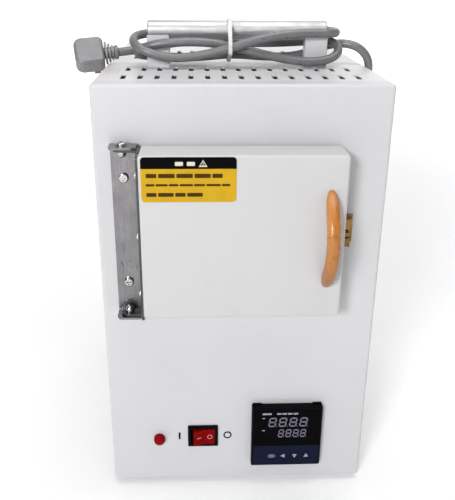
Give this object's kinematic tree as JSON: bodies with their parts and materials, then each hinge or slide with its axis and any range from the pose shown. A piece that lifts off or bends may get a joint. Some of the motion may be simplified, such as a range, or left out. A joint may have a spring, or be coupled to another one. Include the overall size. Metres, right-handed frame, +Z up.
{
  "type": "electric box kiln",
  "caption": "Small front-loading electric box kiln with a side-hung door, wooden pull, ball catch, top carry handle with its cord wound on it, and a panel temperature controller.",
  "frame": {"origin": "on the floor under the middle of the whole kiln, without its cord and plug", "axes": "+Z up, door facing -Y, hinge at -X"},
  "size_m": [0.3155, 0.4753, 0.4645],
  "materials": {
    "cabinet_paint": "fine textured powder coat",
    "plated_steel": "zinc plated, dull",
    "stainless": "brushed, lightly scuffed",
    "screw_steel": "bright nickel",
    "brass": "polished",
    "refractory": "matte fibre board",
    "hearth_ceramic": "matte fired clay",
    "heating_alloy": "oxidised",
    "black_plastic": "satin moulded",
    "dark_window": "glossy tinted",
    "key_film": "satin film",
    "red_plastic": "glossy moulded",
    "red_lens": "glossy lens",
    "print_ink": "printed",
    "label_film": "satin printed film",
    "varnished_wood": "varnished",
    "satin_aluminium": "satin",
    "white_nylon": "smooth",
    "black_rubber": "matte",
    "grey_cord": "smooth sheath",
    "grey_plug": "moulded"
  },
  "bodies": {
    "cabinet": {"base_plate": "plated_steel", "cabinet_screws": "screw_steel", "cable_gland": "black_plastic", "cable_tie": "white_nylon", "carry_bar": "satin_aluminium", "catch_body": "brass", "catch_screws": "brass", "catch_springs": "screw_steel", "controller_bezel": "black_plastic", "controller_clamp": "black_plastic", "controller_housing": "black_plastic", "controller_key_strip": "key_film", "controller_window": "dark_window", "earth_stud": "brass", "floor_board": "refractory", "front_panel": "cabinet_paint", "furnace_casing": "plated_steel", "furnace_shelf": "plated_steel", "hearth_plate": "hearth_ceramic", "heating_wires": "heating_alloy", "hinge_cabinet_leaf": "stainless", "hinge_cap_nuts": "screw_steel", "hinge_screws": "screw_steel", "left_bar_leg": "cabinet_paint", "left_side_panel": "cabinet_paint", "left_wall_board": "refractory", "mains_cord": "grey_cord", "pilot_lamp_body": "black_plastic", "pilot_lamp_lens": "red_lens", "plug_body": "grey_plug", "plug_pins": "brass", "rear_panel": "cabinet_paint", "rear_wall_board": "refractory", "right_bar_leg": "cabinet_paint", "right_side_panel": "cabinet_paint", "right_wall_board": "refractory", "roof_board": "refractory", "rubber_feet": "black_rubber", "solid_state_relay": "black_plastic", "switch_housing": "black_plastic", "switch_marks": "print_ink", "terminal_block": "hearth_ceramic", "thermocouple": "hearth_ceramic", "top_cover": "cabinet_paint"},
    "door": {"door_shell": "cabinet_paint", "door_back_plate": "stainless", "door_insulation": "refractory", "door_plug": "refractory", "warning_label": "label_film", "wooden_pull": "varnished_wood", "door_screws": "screw_steel", "hinge_door_leaf": "stainless", "door_striker": "brass"},
    "rocker": {"switch_rocker": "red_plastic"},
    "mode_key": {"mode_key": "key_film"},
    "shift_key": {"shift_key": "key_film"},
    "down_key": {"down_key": "key_film"},
    "up_key": {"up_key": "key_film"},
    "upper_ball": {"upper_catch_ball": "screw_steel"},
    "lower_ball": {"lower_catch_ball": "screw_steel"}
  },
  "joints": [
    {"name": "door_hinge", "type": "hinge", "parent": "cabinet", "child": "door", "pos_m": [-0.104, -0.15375, 0.2933], "axis": [0, 0, -1], "range_deg": [0, 135]},
    {"name": "rocker_tilt", "type": "hinge", "parent": "cabinet", "child": "rocker", "pos_m": [-0.0366, -0.14025, 0.0615], "axis": [0, 0, -1], "range_deg": [0, 24]},
    {"name": "mode_key_press", "type": "slide", "parent": "cabinet", "child": "mode_key", "axis": [0, 1, 0], "range_m": [0, 0.0005], "stiffness_N_per_m": 2000},
    {"name": "shift_key_press", "type": "slide", "parent": "cabinet", "child": "shift_key", "axis": [0, 1, 0], "range_m": [0, 0.0005], "stiffness_N_per_m": 2000},
    {"name": "down_key_press", "type": "slide", "parent": "cabinet", "child": "down_key", "axis": [0, 1, 0], "range_m": [0, 0.0005], "stiffness_N_per_m": 2000},
    {"name": "up_key_press", "type": "slide", "parent": "cabinet", "child": "up_key", "axis": [0, 1, 0], "range_m": [0, 0.0005], "stiffness_N_per_m": 2000},
    {"name": "upper_ball_slide", "type": "slide", "parent": "cabinet", "child": "upper_ball", "axis": [0, 0, 1], "range_m": [0, 0.0009], "stiffness_N_per_m": 2000},
    {"name": "lower_ball_slide", "type": "slide", "parent": "cabinet", "child": "lower_ball", "axis": [0, 0, -1], "range_m": [0, 0.0009], "stiffness_N_per_m": 2000}
  ]
}
